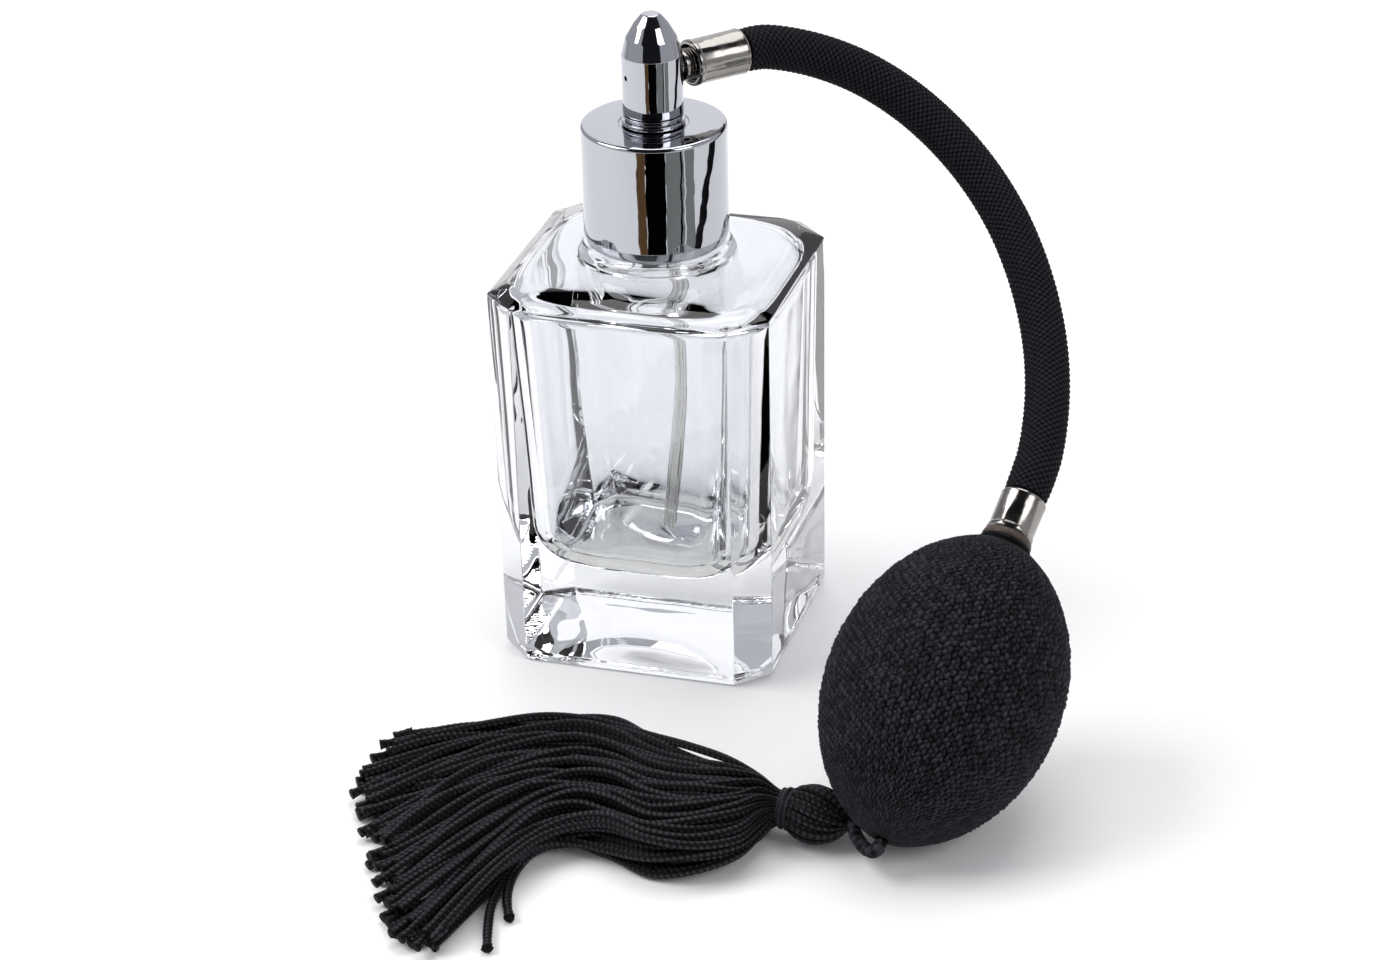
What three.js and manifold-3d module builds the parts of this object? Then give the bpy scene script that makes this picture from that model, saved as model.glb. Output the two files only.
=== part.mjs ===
// Bulb perfume atomiser: a thick glass bottle, a screw-on spray head and a squeeze bulb on a braided air hose.
// Millimetres, +Z up. The origin is the centre of the bottle's underside, and +X runs along its wide face.
import * as THREE from 'three';
import { mergeVertices } from 'three/addons/utils/BufferGeometryUtils.js';
import Module from 'manifold-3d';

const wasm = await Module();
wasm.setup();

// ---- driving dimensions ----
const bottleWidth = 46;
const bottleDepth = 44;
const bottleChamfer = 5.3;        // leg of each cut corner
const bottleDraft = 0.985;        // width at the base over width at the shoulder
const shoulderHeight = 62.9;      // top of the upright faces
const plateauHeight = 66;         // glass at the foot of the neck
const neckRadius = 8.7;
const neckTop = 82;
const boreRadius = 7.4;
const cavityHalfX = 17.6;
const cavityHalfY = 16.6;
const cavityFloor = 14.8;
const cavityCeiling = 58.6;
const dipTubeRadius = 1.3;
const dipTubeBore = 0.75;
const shoulderRise = 1.7;         // sloping band round the top of the glass
const shoulderScale = 0.88;

const collarRadius = 11.55;
const collarBottom = 67.7;
const collarTop = 87.3;
const collarWall = 0.8;
const collarBevel = 1.9;
const nozzleRadius = 4.8;
const nozzleBottom = 89.1;
const nozzleShoulder = 98.8;
const nozzleTip = 105.2;
const portHeight = 95.5;
const portAngle = 48;             // heading of the hose port, degrees from +X towards +Y

const hoseRadius = 3.5;
const hoseBore = 2.45;
const innerTubeRadius = 2.3;
const innerTubeBore = 1.3;
const hoseSides = 10;
const hoseSteps = 20;
const ferruleRadius = 3.6;
const upperFerruleStart = 6.6;    // distances from the nozzle's axis
const upperFerruleEnd = 16;
const gap = 0.3;                  // between pieces that touch in the real object

const bulbRadius = 17.85;
const bulbHalfLength = 25.9;
const bulbPower = 0.6;            // below 0.5 is blunt, above it is pointed
const bulbCentre = new THREE.Vector3(58.2, -48.3, 20.7);
const bulbTilt = 33.9;            // hose end up from the table, degrees
const bulbHeading = 77.8;         // hose end from +X towards +Y, degrees
const knitThickness = 0.9;
const rubberThickness = 1.5;
const coverHoseEnd = 24.8;        // along the bulb's axis from its centre
const coverTailEnd = -24.6;
const rubberHoseEnd = 22.8;
const rubberTailEnd = -22.6;
const thumbLength = 24;           // stretch of the wall that the thumb presses in
const thumbWidth = 17;
const lowerFerruleStart = 26.9;
const lowerFerruleEnd = 33.7;

// ---- hose route between the two ferrules, a hand-chosen list of points ----
const hoseRoute = [
  [11.1, 12.3, 95.5],
  [14.0, 15.3, 95.2],
  [20.5, 19.6, 92.9],
  [27.5, 22.4, 89.5],
  [34.5, 23.5, 85.1],
  [41.1, 22.9, 80.1],
  [47.2, 20.6, 74.8],
  [52.5, 16.9, 69.4],
  [56.8, 12.1, 64.1],
  [60.3, 6.4, 58.9],
  [62.9, 0.1, 53.9],
  [64.5, -6.6, 49.1],
  [65.1, -13.6, 44.4],
  [64.8, -17.4, 42.0],
  [64.2, -20.5, 39.8],
];

// ---- dip tube route, bowed a little as soft tube is ----
const dipRoute = [
  [0, 0, 73.4],
  [1.2, 0.3, 66],
  [4.0, 1.1, 54],
  [4.4, 1.3, 40],
  [2.8, 0.7, 26],
  [1.6, 0.2, 16.4],
];

// ---- tassel places ----
const bindingCentre = new THREE.Vector3(37.6, -61.8, 4.7);
const headEnd = new THREE.Vector3(46.3, -62.8, 4.6);
const bindingLength = 3;
const headRadius = 4.4;
const bindingRadius = 3.2;
const tasselCordRadius = 0.9;

const finish = {
  glass: [0xe8f0ee, 0.03, 0.0],
  chrome: [0xd8dadc, 0.06, 1.0],
  nickel: [0xb9b3a8, 0.25, 1.0],
  brass: [0xb08d4a, 0.3, 1.0],
  clearPlastic: [0xe9e6dc, 0.35, 0.0],
  whitePlastic: [0xdedede, 0.45, 0.0],
  blackRubber: [0x1a1a1b, 0.7, 0.0],
  brownRubber: [0x4a3a30, 0.65, 0.0],
  blackYarn: [0x121214, 0.9, 0.0],
  steel: [0xc4c6c8, 0.15, 1.0],
};

const model = new THREE.Group();

function add(group, name, geometry, look) {
  const [color, roughness, metalness] = finish[look];
  const mesh = new THREE.Mesh(geometry, new THREE.MeshStandardMaterial({ color, roughness, metalness }));
  mesh.name = name;
  group.add(mesh);
  return mesh;
}

// ---- solids: joining and cutting ----
function toSolid(geometry) {
  const bare = new THREE.BufferGeometry();
  bare.setAttribute('position', geometry.attributes.position.clone());
  if (geometry.index) bare.setIndex(geometry.index.clone());
  const merged = mergeVertices(bare, 1e-4);
  return new wasm.Manifold(new wasm.Mesh({
    numProp: 3,
    vertProperties: Float32Array.from(merged.attributes.position.array),
    triVerts: Uint32Array.from(merged.index.array),
  }));
}

function toGeometry(solid) {
  const mesh = solid.getMesh();
  const geometry = new THREE.BufferGeometry();
  const points = new Float32Array(mesh.numVert * 3);
  for (let i = 0; i < mesh.numVert; i++) {
    for (let k = 0; k < 3; k++) points[i * 3 + k] = mesh.vertProperties[i * mesh.numProp + k];
  }
  geometry.setAttribute('position', new THREE.BufferAttribute(points, 3));
  geometry.setIndex(new THREE.BufferAttribute(Uint32Array.from(mesh.triVerts), 1));
  geometry.computeVertexNormals();
  return geometry;
}

const cut = (a, b) => toGeometry(toSolid(a).subtract(toSolid(b)));
const common = (a, b) => toGeometry(toSolid(a).intersect(toSolid(b)));

// The same closed skin with its faces pointing out, whichever way its outline was listed.
function facingOut(geometry) {
  const solid = toSolid(geometry);
  if (solid.volume() > 0) return toGeometry(solid);
  const faces = geometry.index.array;
  for (let i = 0; i < faces.length; i += 3) {
    [faces[i], faces[i + 1]] = [faces[i + 1], faces[i]];
  }
  return toGeometry(toSolid(geometry));
}

// A turned piece about +Z from [radius, height] pairs. It closes on itself where it is hollow.
function turned(profile, sides) {
  const points = profile.map(([r, z]) => new THREE.Vector2(r, z));
  const hollow = profile[0][0] > 0;
  if (hollow) points.push(points[0].clone());
  const geometry = new THREE.LatheGeometry(points, sides);
  geometry.rotateX(Math.PI / 2);
  return facingOut(geometry);
}

// A closed skin through rings of equal count, with a flat lid on the first and the last ring.
function lofted(rings) {
  const count = rings[0].length;
  const points = rings.flat(2);
  const faces = [];
  for (let j = 0; j < rings.length - 1; j++) {
    for (let i = 0; i < count; i++) {
      const a = j * count + i;
      const b = j * count + (i + 1) % count;
      faces.push(a, b, b + count, a, b + count, a + count);
    }
  }
  const last = (rings.length - 1) * count;
  for (let i = 1; i < count - 1; i++) {
    faces.push(0, i + 1, i);
    faces.push(last, last + i, last + i + 1);
  }
  const geometry = new THREE.BufferGeometry();
  geometry.setAttribute('position', new THREE.BufferAttribute(Float32Array.from(points), 3));
  geometry.setIndex(faces);
  return facingOut(geometry);
}

// A tube or rod of constant section swept through points.
function swept(points, radius, bore, sides, steps) {
  const curve = new THREE.CatmullRomCurve3(points.map((p) => new THREE.Vector3(...p)), false, 'centripetal');
  const section = new THREE.Shape(circlePoints(radius, sides));
  if (bore > 0) section.holes.push(new THREE.Path(circlePoints(bore, sides).reverse()));
  const geometry = new THREE.ExtrudeGeometry(section, { steps, extrudePath: curve, bevelEnabled: false });
  return toGeometry(toSolid(geometry));
}

function circlePoints(radius, sides) {
  const points = [];
  for (let i = 0; i < sides; i++) {
    const angle = (i / sides) * 2 * Math.PI;
    points.push(new THREE.Vector2(radius * Math.cos(angle), radius * Math.sin(angle)));
  }
  return points;
}

// ---- bottle ----
const halfX = bottleWidth / 2;
const halfY = bottleDepth / 2;

// Headings of the bottle's rings: every corner of the octagon, and even steps along each of its sides.
const bottleHeadings = (() => {
  const corners = [
    [halfX, -halfY + bottleChamfer], [halfX, halfY - bottleChamfer],
    [halfX - bottleChamfer, halfY], [-halfX + bottleChamfer, halfY],
    [-halfX, halfY - bottleChamfer], [-halfX, -halfY + bottleChamfer],
    [-halfX + bottleChamfer, -halfY], [halfX - bottleChamfer, -halfY],
  ];
  const headings = [];
  corners.forEach((corner, i) => {
    const next = corners[(i + 1) % corners.length];
    const parts = i % 2 === 0 ? 8 : 2;
    for (let k = 0; k < parts; k++) {
      const x = corner[0] + (next[0] - corner[0]) * k / parts;
      const y = corner[1] + (next[1] - corner[1]) * k / parts;
      headings.push(Math.atan2(y, x));
    }
  });
  return headings;
})();

function octagonReach(heading) {
  const c = Math.abs(Math.cos(heading));
  const s = Math.abs(Math.sin(heading));
  return Math.min(halfX / c, halfY / s, (halfX + halfY - bottleChamfer) / (c + s));
}

function roundedReach(heading, reachX, reachY) {
  const c = Math.abs(Math.cos(heading)) / reachX;
  const s = Math.abs(Math.sin(heading)) / reachY;
  return 1 / Math.pow(Math.pow(c, 4) + Math.pow(s, 4), 0.25);
}

function bottleRing(z, reach) {
  return bottleHeadings.map((heading) => [reach(heading) * Math.cos(heading), reach(heading) * Math.sin(heading), z]);
}

const octagonRing = (z, scale) => bottleRing(z, (heading) => octagonReach(heading) * scale);
const roundRing = (z, radius) => bottleRing(z, () => radius);
const cavityRing = (z, scale) =>
  bottleRing(z, (heading) => roundedReach(heading, cavityHalfX * scale, cavityHalfY * scale));

function glassBottle() {
  return lofted([
    octagonRing(0, bottleDraft * 0.96),
    octagonRing(1, bottleDraft),
    octagonRing(shoulderHeight, 1),
    octagonRing(shoulderHeight + shoulderRise, shoulderScale),
    roundRing(plateauHeight, collarRadius + 1),
    roundRing(plateauHeight + 0.2, collarRadius - 0.6),
    roundRing(plateauHeight + 1.2, collarRadius - 0.8),
    roundRing(plateauHeight + 1.4, neckRadius),
    roundRing(neckTop - 1, neckRadius),
    roundRing(neckTop, neckRadius - 0.4),
    roundRing(neckTop, boreRadius),
    roundRing(cavityCeiling + 3, boreRadius),
    roundRing(cavityCeiling + 1, boreRadius + 1.4),
    cavityRing(cavityCeiling, 0.78),
    cavityRing(cavityCeiling - 2, 0.93),
    cavityRing(cavityCeiling - 5, 1),
    cavityRing(cavityFloor + 7, 0.98),
    cavityRing(cavityFloor + 3, 0.93),
    cavityRing(cavityFloor + 0.9, 0.82),
    cavityRing(cavityFloor, 0.62),
  ]);
}

add(model, 'glass_bottle', glassBottle(), 'glass');

// ---- spray head: gasket, plug, dip tube, stem ----
const seam = 0.1;                 // between pieces that press on each other
const gasketBore = 4.6;
const gasketThickness = 1;
const gasketBottom = neckTop + seam;
const gasketTop = gasketBottom + gasketThickness;
add(model, 'neck_gasket', turned([
  [gasketBore, gasketBottom], [neckRadius, gasketBottom], [neckRadius, gasketTop], [gasketBore, gasketTop],
], 24), 'brownRubber');

const flangeRadius = 8.6;
const flangeBottom = gasketTop + seam;
const flangeTop = flangeBottom + 1.4;
const airBore = 0.9;
const plugRadius = 4.3;
const plugBottom = 75.2;
const bossRadius = 2.9;
const bossTop = 85.9;
add(model, 'head_plug', turned([
  [airBore, plugBottom], [plugRadius, plugBottom], [plugRadius, flangeBottom], [flangeRadius, flangeBottom],
  [flangeRadius, flangeTop], [bossRadius, flangeTop], [bossRadius, bossTop], [airBore, bossTop],
], 24), 'whitePlastic');

// A short spigot under the plug holds the dip tube.
const socketRadius = 2.6;
const socketHeight = 1.2;
const socketTop = plugBottom - gap;
add(model, 'dip_tube_socket', turned([
  [airBore, socketTop - socketHeight], [socketRadius, socketTop - socketHeight], [socketRadius, socketTop],
  [airBore, socketTop],
], 16), 'whitePlastic');

add(model, 'dip_tube', swept(dipRoute, dipTubeRadius, dipTubeBore, 8, 14), 'clearPlastic');

const stemRadius = 1.6;
const stemBore = 0.6;
const stemTop = 93.4;
add(model, 'stem_tube', turned([
  [stemBore, bossTop + gap], [stemRadius, bossTop + gap], [stemRadius, stemTop], [stemBore, stemTop],
], 14), 'brass');

// ---- collar: threaded plastic insert in a chromed shell ----
const collarHole = 3.2;           // the stem and its boss pass through
const collarLid = 1.1;
function collarShell() {
  const inner = collarRadius - collarWall;
  return turned([
    [collarHole, collarTop - collarLid],
    [inner, collarTop - collarLid],
    [inner, collarBottom + collarBevel],
    [inner - 0.5, collarBottom],
    [collarRadius - 0.7, collarBottom],
    [collarRadius, collarBottom + collarBevel],
    [collarRadius, collarTop - 0.7],
    [collarRadius - 0.25, collarTop - 0.2],
    [collarRadius - 0.8, collarTop],
    [collarHole, collarTop],
  ], 48);
}

add(model, 'collar_shell', collarShell(), 'chrome');

const insertRadius = collarRadius - collarWall - 0.15;
const insertBore = neckRadius + 0.35;
const insertBottom = collarBottom + collarBevel + 0.2;
const insertTop = collarTop - collarLid - 0.2;
const insertCeiling = flangeTop + 0.15;
add(model, 'threaded_insert', turned([
  [insertBore, insertBottom], [insertRadius, insertBottom], [insertRadius, insertTop], [collarHole + seam, insertTop],
  [collarHole + seam, insertCeiling], [insertBore, insertCeiling],
], 32), 'whitePlastic');

// ---- nozzle, its swivel ring and its jet ----
const swivelBore = 3.0;
const swivelWaist = nozzleRadius - 0.4;
add(model, 'swivel_ring', turned([
  [swivelBore, collarTop + seam], [nozzleRadius, collarTop + seam], [nozzleRadius, collarTop + 0.7],
  [swivelWaist, collarTop + 0.9], [swivelWaist, collarTop + 1.2],
  [nozzleRadius, collarTop + 1.4], [nozzleRadius, nozzleBottom - 0.15], [swivelBore, nozzleBottom - 0.15],
], 32), 'chrome');

const portDirection = new THREE.Vector3(
  Math.cos(THREE.MathUtils.degToRad(portAngle)), Math.sin(THREE.MathUtils.degToRad(portAngle)), 0);

// Turns a piece made along +Z so that it lies along a direction, and moves its foot to a point.
function along(geometry, foot, direction) {
  const turn = new THREE.Quaternion().setFromUnitVectors(new THREE.Vector3(0, 0, 1), direction.clone().normalize());
  return geometry.applyQuaternion(turn).translate(foot.x, foot.y, foot.z);
}

const axisAtPort = new THREE.Vector3(0, 0, portHeight);
const backwards = portDirection.clone().negate();
const nozzleBore = 1.8;           // takes the stem
const portRadius = 1.9;
const jetSeatRadius = 0.9;

// A round hole from the nozzle's axis out through its wall.
function sideHole(radius, sides, direction) {
  const reach = nozzleRadius + 2;
  return along(turned([[0, 0], [radius, 0], [radius, reach], [0, reach]], sides), axisAtPort, direction);
}

function nozzleBody() {
  const boreTop = nozzleShoulder - 0.6;
  const shell = turned([
    [nozzleBore, nozzleBottom], [nozzleRadius, nozzleBottom], [nozzleRadius, nozzleShoulder - 0.3],
    [nozzleRadius - 0.3, nozzleShoulder],
    [3.7, nozzleShoulder + 2.2], [2.5, nozzleShoulder + 4.4], [1.7, nozzleTip - 0.7], [1.1, nozzleTip],
    [0, nozzleTip], [0, boreTop], [nozzleBore, boreTop],
  ], 36);
  return cut(cut(shell, sideHole(portRadius, 20, portDirection)), sideHole(jetSeatRadius, 16, backwards));
}

const nozzleGroup = new THREE.Group();
model.add(nozzleGroup);
add(nozzleGroup, 'nozzle_body', nozzleBody(), 'chrome');

const jetRadius = 0.8;
const jetBore = 0.25;
const jetStart = 1.9;             // clear of the stem
const jetEnd = nozzleRadius - 0.15;
add(nozzleGroup, 'spray_jet', along(turned([
  [jetBore, jetStart], [jetRadius, jetStart], [jetRadius, jetEnd], [jetBore, jetEnd],
], 16), axisAtPort, backwards), 'brass');

// The nipple screws into the nozzle, and the hose's ferrule screws over it.
const nippleBore = 0.8;
const nippleCollar = 2.6;
const spigotRadius = 1.9;
const spigotEnd = upperFerruleEnd - 0.5;
add(nozzleGroup, 'hose_nipple', along(turned([
  [nippleBore, jetStart], [nozzleBore, jetStart], [nozzleBore, nozzleRadius + 0.2],
  [nippleCollar, nozzleRadius + 0.2], [nippleCollar, upperFerruleStart - seam],
  [spigotRadius, upperFerruleStart - seam], [spigotRadius, spigotEnd], [nippleBore, spigotEnd],
], 16), axisAtPort, portDirection), 'nickel');

// A ferrule is open at its foot, down to the depth of its recess.
function ferrule(length, recess) {
  const bore = 2.1;
  const mouth = 2.9;
  return turned([
    [bore, recess], [mouth, recess], [mouth, 0.2], [mouth + 0.2, 0], [ferruleRadius - 0.25, 0], [ferruleRadius, 0.25],
    [ferruleRadius, length - 0.15], [ferruleRadius - 0.15, length], [bore, length],
  ], 24);
}

add(nozzleGroup, 'upper_ferrule', along(ferrule(upperFerruleEnd - upperFerruleStart, 1.8),
  axisAtPort.clone().addScaledVector(portDirection, upperFerruleStart), portDirection), 'nickel');

// ---- hose: a rubber tube in a braided sleeve ----
add(model, 'hose_braid', swept(hoseRoute, hoseRadius, hoseBore, hoseSides, hoseSteps), 'blackYarn');
add(model, 'hose_inner_tube', swept(hoseRoute, innerTubeRadius, innerTubeBore, hoseSides, hoseSteps), 'blackRubber');

// ---- bulb, made along its own +Z towards the hose, with its upper side at +X ----
const tilt = THREE.MathUtils.degToRad(bulbTilt);
const heading = THREE.MathUtils.degToRad(bulbHeading);
const bulbAxis = new THREE.Vector3(
  Math.cos(tilt) * Math.cos(heading), Math.cos(tilt) * Math.sin(heading), Math.sin(tilt));
const bulbUpper = new THREE.Vector3(
  -Math.sin(tilt) * Math.cos(heading), -Math.sin(tilt) * Math.sin(heading), Math.cos(tilt));
const bulbSide = new THREE.Vector3().crossVectors(bulbAxis, bulbUpper);
const bulbGroup = new THREE.Group();
bulbGroup.quaternion.setFromRotationMatrix(new THREE.Matrix4().makeBasis(bulbUpper, bulbSide, bulbAxis));
bulbGroup.position.copy(bulbCentre);
model.add(bulbGroup);

const bulbReach = (z, inset) => bulbRadius * Math.pow(1 - (z / bulbHalfLength) ** 2, bulbPower) - inset;

// The bulb's wall between two depths below its surface, open at both ends.
function bulbWall(outerInset, innerInset, tailZ, hoseZ, stations) {
  const outer = [];
  const inner = [];
  for (let i = 0; i <= stations; i++) {
    const swing = Math.PI * i / stations;
    const z = (hoseZ + tailZ) / 2 - Math.cos(swing) * (hoseZ - tailZ) / 2;
    outer.push([bulbReach(z, outerInset), z]);
    // the smallest hole left at the ends, wider in the cover than in the rubber
    const smallestHole = innerInset > knitThickness ? 2.75 : 3.2;
    inner.push([Math.max(smallestHole, bulbReach(z, innerInset)), z]);
  }
  return turned([...outer, ...inner.reverse()], 28);
}

// A column along +X with an oval footprint, which parts the thumb's stretch of wall from the rest.
function thumbColumn(spare) {
  const oval = new THREE.Shape();
  oval.absellipse(0, 0, thumbLength / 2 + spare, thumbWidth / 2 + spare, 0, 2 * Math.PI);
  const column = new THREE.ExtrudeGeometry(oval, { depth: bulbRadius * 1.2, bevelEnabled: false, curveSegments: 8 });
  column.rotateY(Math.PI / 2);
  return column;
}

const knitWall = bulbWall(0, knitThickness, coverTailEnd, coverHoseEnd, 10);
const rubberInset = knitThickness + gap;
const rubberWall = bulbWall(rubberInset, rubberInset + rubberThickness, rubberTailEnd, rubberHoseEnd, 9);
add(bulbGroup, 'knit_cover', cut(knitWall, thumbColumn(gap)), 'blackYarn');
add(bulbGroup, 'cover_thumb_patch', common(knitWall, thumbColumn(0)), 'blackYarn');
add(bulbGroup, 'rubber_bulb', cut(rubberWall, thumbColumn(gap)), 'blackRubber');
add(bulbGroup, 'bulb_thumb_wall', common(rubberWall, thumbColumn(0)), 'blackRubber');

// Spigot that joins the bulb's mouth to the hose, and the ring of rubber lip that shows round it.
const connectorStart = 19;
const connectorRadius = 2.4;
const connectorEnd = lowerFerruleEnd - 0.6;
add(bulbGroup, 'bulb_connector', turned([
  [airBore, connectorStart], [connectorRadius, connectorStart], [connectorRadius, lowerFerruleStart - 1.5],
  [spigotRadius, lowerFerruleStart - 1.3], [spigotRadius, connectorEnd], [airBore, connectorEnd],
], 16), 'brass');
const lipBore = 2.2;
const lipRadius = 4.0;
const lipBottom = coverHoseEnd + 0.9;
const lipTop = lowerFerruleStart - 0.15;
add(bulbGroup, 'bulb_lip_ring', turned([
  [lipBore, lipBottom], [lipRadius - 0.1, lipBottom], [lipRadius, lipBottom + 0.4], [lipRadius - 0.2, lipTop],
  [lipBore, lipTop],
], 24), 'brownRubber');
const lowerFerrule = ferrule(lowerFerruleEnd - lowerFerruleStart, 0.6);
lowerFerrule.translate(0, 0, lowerFerruleStart);
add(bulbGroup, 'lower_ferrule', lowerFerrule, 'nickel');

// One-way air valve in the bulb's tail. The ball rests on the outer seat.
const ballRadius = 1.2;
const ballSeat = -22.3;
const valveRadius = 2.4;
const valveBore = 1.5;            // room round the ball
const valveHole = 0.7;
const valveFoot = -25.2;
const valveTop = -18.6;
add(bulbGroup, 'intake_valve_body', turned([
  [valveHole, valveFoot], [valveRadius, valveFoot], [valveRadius, valveTop], [valveHole + seam, valveTop],
  [valveHole + seam, valveTop - 0.6], [valveBore, valveTop - 0.6], [valveBore, ballSeat - 0.9],
  [valveHole, ballSeat - 1.3],
], 16), 'brass');
const ball = new THREE.SphereGeometry(ballRadius, 12, 8);
ball.translate(0, 0, ballSeat);
add(bulbGroup, 'intake_valve_ball', toGeometry(toSolid(ball)), 'steel');

// ---- tassel: a cord from the bulb's tail, a gathered head, its binding and the skirt of strands ----
const tail = bulbCentre.clone().addScaledVector(bulbAxis, -bulbHalfLength + 0.1);
const tasselAxis = headEnd.clone().sub(bindingCentre).normalize();
const headLength = headEnd.distanceTo(bindingCentre) - bindingLength / 2;

function tasselCord() {
  const foot = tail.clone().addScaledVector(bulbAxis, -gap);
  const below = foot.clone().addScaledVector(bulbAxis, -1.4);
  const end = headEnd.clone().addScaledVector(tasselAxis, 2 * gap);
  const route = [foot.toArray(), below.toArray(), [51.4, -69.0, 4.2], [49.0, -65.6, 4.0], [48.0, -63.7, 4.3], end.toArray()];
  return swept(route, tasselCordRadius, 0, 10, 10);
}

add(model, 'tassel_cord', tasselCord(), 'blackYarn');

function tasselHead() {
  const length = headLength - gap;
  return turned([
    [0, 0], [2.9, 0], [3.9, length * 0.16], [headRadius, length * 0.42], [4.1, length * 0.64], [3.0, length * 0.86],
    [1.8, length], [0, length],
  ], 20);
}

add(model, 'tassel_head', along(tasselHead(),
  bindingCentre.clone().addScaledVector(tasselAxis, bindingLength / 2 + gap), tasselAxis), 'blackYarn');

add(model, 'tassel_binding', along(turned([
  [0, -bindingLength / 2], [bindingRadius - 0.3, -bindingLength / 2], [bindingRadius, -0.7], [bindingRadius, 0.7],
  [bindingRadius - 0.3, bindingLength / 2], [0, bindingLength / 2],
], 20), bindingCentre, tasselAxis), 'blackYarn');

// The skirt is round at the binding and fans out flat on the table.
function tasselSkirt() {
  const stations = [
    // x and y of the middle, height of the middle, half width, half height, heading in degrees
    [35.6, -61.9, 4.7, 3.1, 3.1, 184],
    [33.2, -63.0, 4.9, 6.2, 4.5, 194],
    [30.0, -65.0, 5.1, 10.0, 4.9, 198],
    [23.6, -65.9, 4.9, 13.6, 4.8, 197],
    [16.7, -64.4, 4.4, 15.6, 4.3, 196],
    [9.9, -61.4, 4.0, 15.4, 3.9, 195],
    [4.1, -60.6, 3.7, 15.8, 3.6, 197],
    [-1.2, -62.2, 3.4, 17.4, 3.3, 199],
    [-6.7, -66.6, 3.0, 21.2, 2.9, 202],
    [-11.9, -73.3, 2.6, 26.2, 2.5, 204],
    [-16.0, -79.4, 2.1, 29.0, 2.0, 206],
    [-19.0, -82.9, 1.8, 28.0, 1.6, 207],
  ];
  const rings = stations.map(([x, y, z, halfWidth, halfHeight, turn]) => {
    const angle = THREE.MathUtils.degToRad(turn);
    const ring = [];
    for (let i = 0; i < 16; i++) {
      const around = (i / 16) * 2 * Math.PI;
      const sideways = Math.sign(Math.cos(around)) * Math.pow(Math.abs(Math.cos(around)), 0.8) * halfWidth;
      const up = Math.sign(Math.sin(around)) * Math.pow(Math.abs(Math.sin(around)), 0.8) * halfHeight;
      ring.push([x + Math.sin(angle) * sideways, y - Math.cos(angle) * sideways, z + up]);
    }
    return ring;
  });
  return lofted(rings);
}

add(model, 'tassel_skirt', tasselSkirt(), 'blackYarn');

export default model;
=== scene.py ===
# Bulb perfume atomiser: the looks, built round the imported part. Metres, +Z up, origin under the bottle.
import math

import bmesh
import bpy
import numpy as np
from mathutils import Matrix, Vector, noise


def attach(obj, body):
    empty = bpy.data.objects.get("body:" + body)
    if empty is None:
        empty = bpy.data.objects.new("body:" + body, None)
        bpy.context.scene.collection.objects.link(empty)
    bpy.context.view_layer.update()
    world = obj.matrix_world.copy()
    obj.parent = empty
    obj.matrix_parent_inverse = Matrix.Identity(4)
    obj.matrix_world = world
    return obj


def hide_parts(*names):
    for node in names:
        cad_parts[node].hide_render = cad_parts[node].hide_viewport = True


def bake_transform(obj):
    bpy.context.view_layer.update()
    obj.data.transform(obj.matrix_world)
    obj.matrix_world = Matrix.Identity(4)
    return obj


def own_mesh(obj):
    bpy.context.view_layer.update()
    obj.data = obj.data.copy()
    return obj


mm = 0.001
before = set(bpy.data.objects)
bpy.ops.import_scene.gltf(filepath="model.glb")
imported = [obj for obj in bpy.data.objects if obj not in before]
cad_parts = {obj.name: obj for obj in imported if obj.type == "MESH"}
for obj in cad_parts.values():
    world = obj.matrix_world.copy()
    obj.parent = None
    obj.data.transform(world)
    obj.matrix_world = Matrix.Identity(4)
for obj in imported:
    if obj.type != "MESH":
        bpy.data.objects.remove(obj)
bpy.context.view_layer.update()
rng = np.random.default_rng(7)
print("frame loaded:", len(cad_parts), "nodes")


# Small tools
def nothingSelected():
    if bpy.context.mode != "OBJECT":
        bpy.ops.object.mode_set(mode="OBJECT")
    bpy.ops.object.select_all(action="DESELECT")


def makeActive(piece):
    nothingSelected()
    piece.select_set(True)
    bpy.context.view_layer.objects.active = piece


def hexColour(text):
    # sRGB hex to the linear colour that the shader wants
    levels = [int(text[k:k + 2], 16) / 255 for k in (1, 3, 5)]
    linear = [v / 12.92 if v <= 0.04045 else ((v + 0.055) / 1.055) ** 2.4 for v in levels]
    return (*linear, 1.0)


def addNode(tree, kind, settings=None, links=None, **attributes):
    node = tree.nodes.new(kind)
    for name, value in attributes.items():
        setattr(node, name, value)
    for socket, value in (settings or {}).items():
        node.inputs[socket].default_value = value
    for socket, source in (links or {}).items():
        tree.links.new(source, node.inputs[socket])
    return node


def newMaterial(name, settings):
    material = bpy.data.materials.new(name)
    material.use_nodes = True
    shader = material.node_tree.nodes["Principled BSDF"]
    for socket, value in settings.items():
        shader.inputs[socket].default_value = value
    return material, material.node_tree, shader


def finishPiece(piece, body, slotName, material, *nodes):
    piece.data.materials.clear()
    piece.data.materials.append(material)
    if nodes:
        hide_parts(*nodes)
    if body:
        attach(piece, body)
    print("made", piece.name, len(piece.data.polygons), "faces")
    return piece


# Camera
cameraSet = {
    "azimuth": 16.982,
    "elevation": 27.259,
    "roll": -1.415,
    "distance": 0.620,
    "lens": 98.69,
    "aimHeight": 40 * mm,
    "slideRight": 6.189 * mm,
    "slideUp": -13.85 * mm,
}


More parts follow.
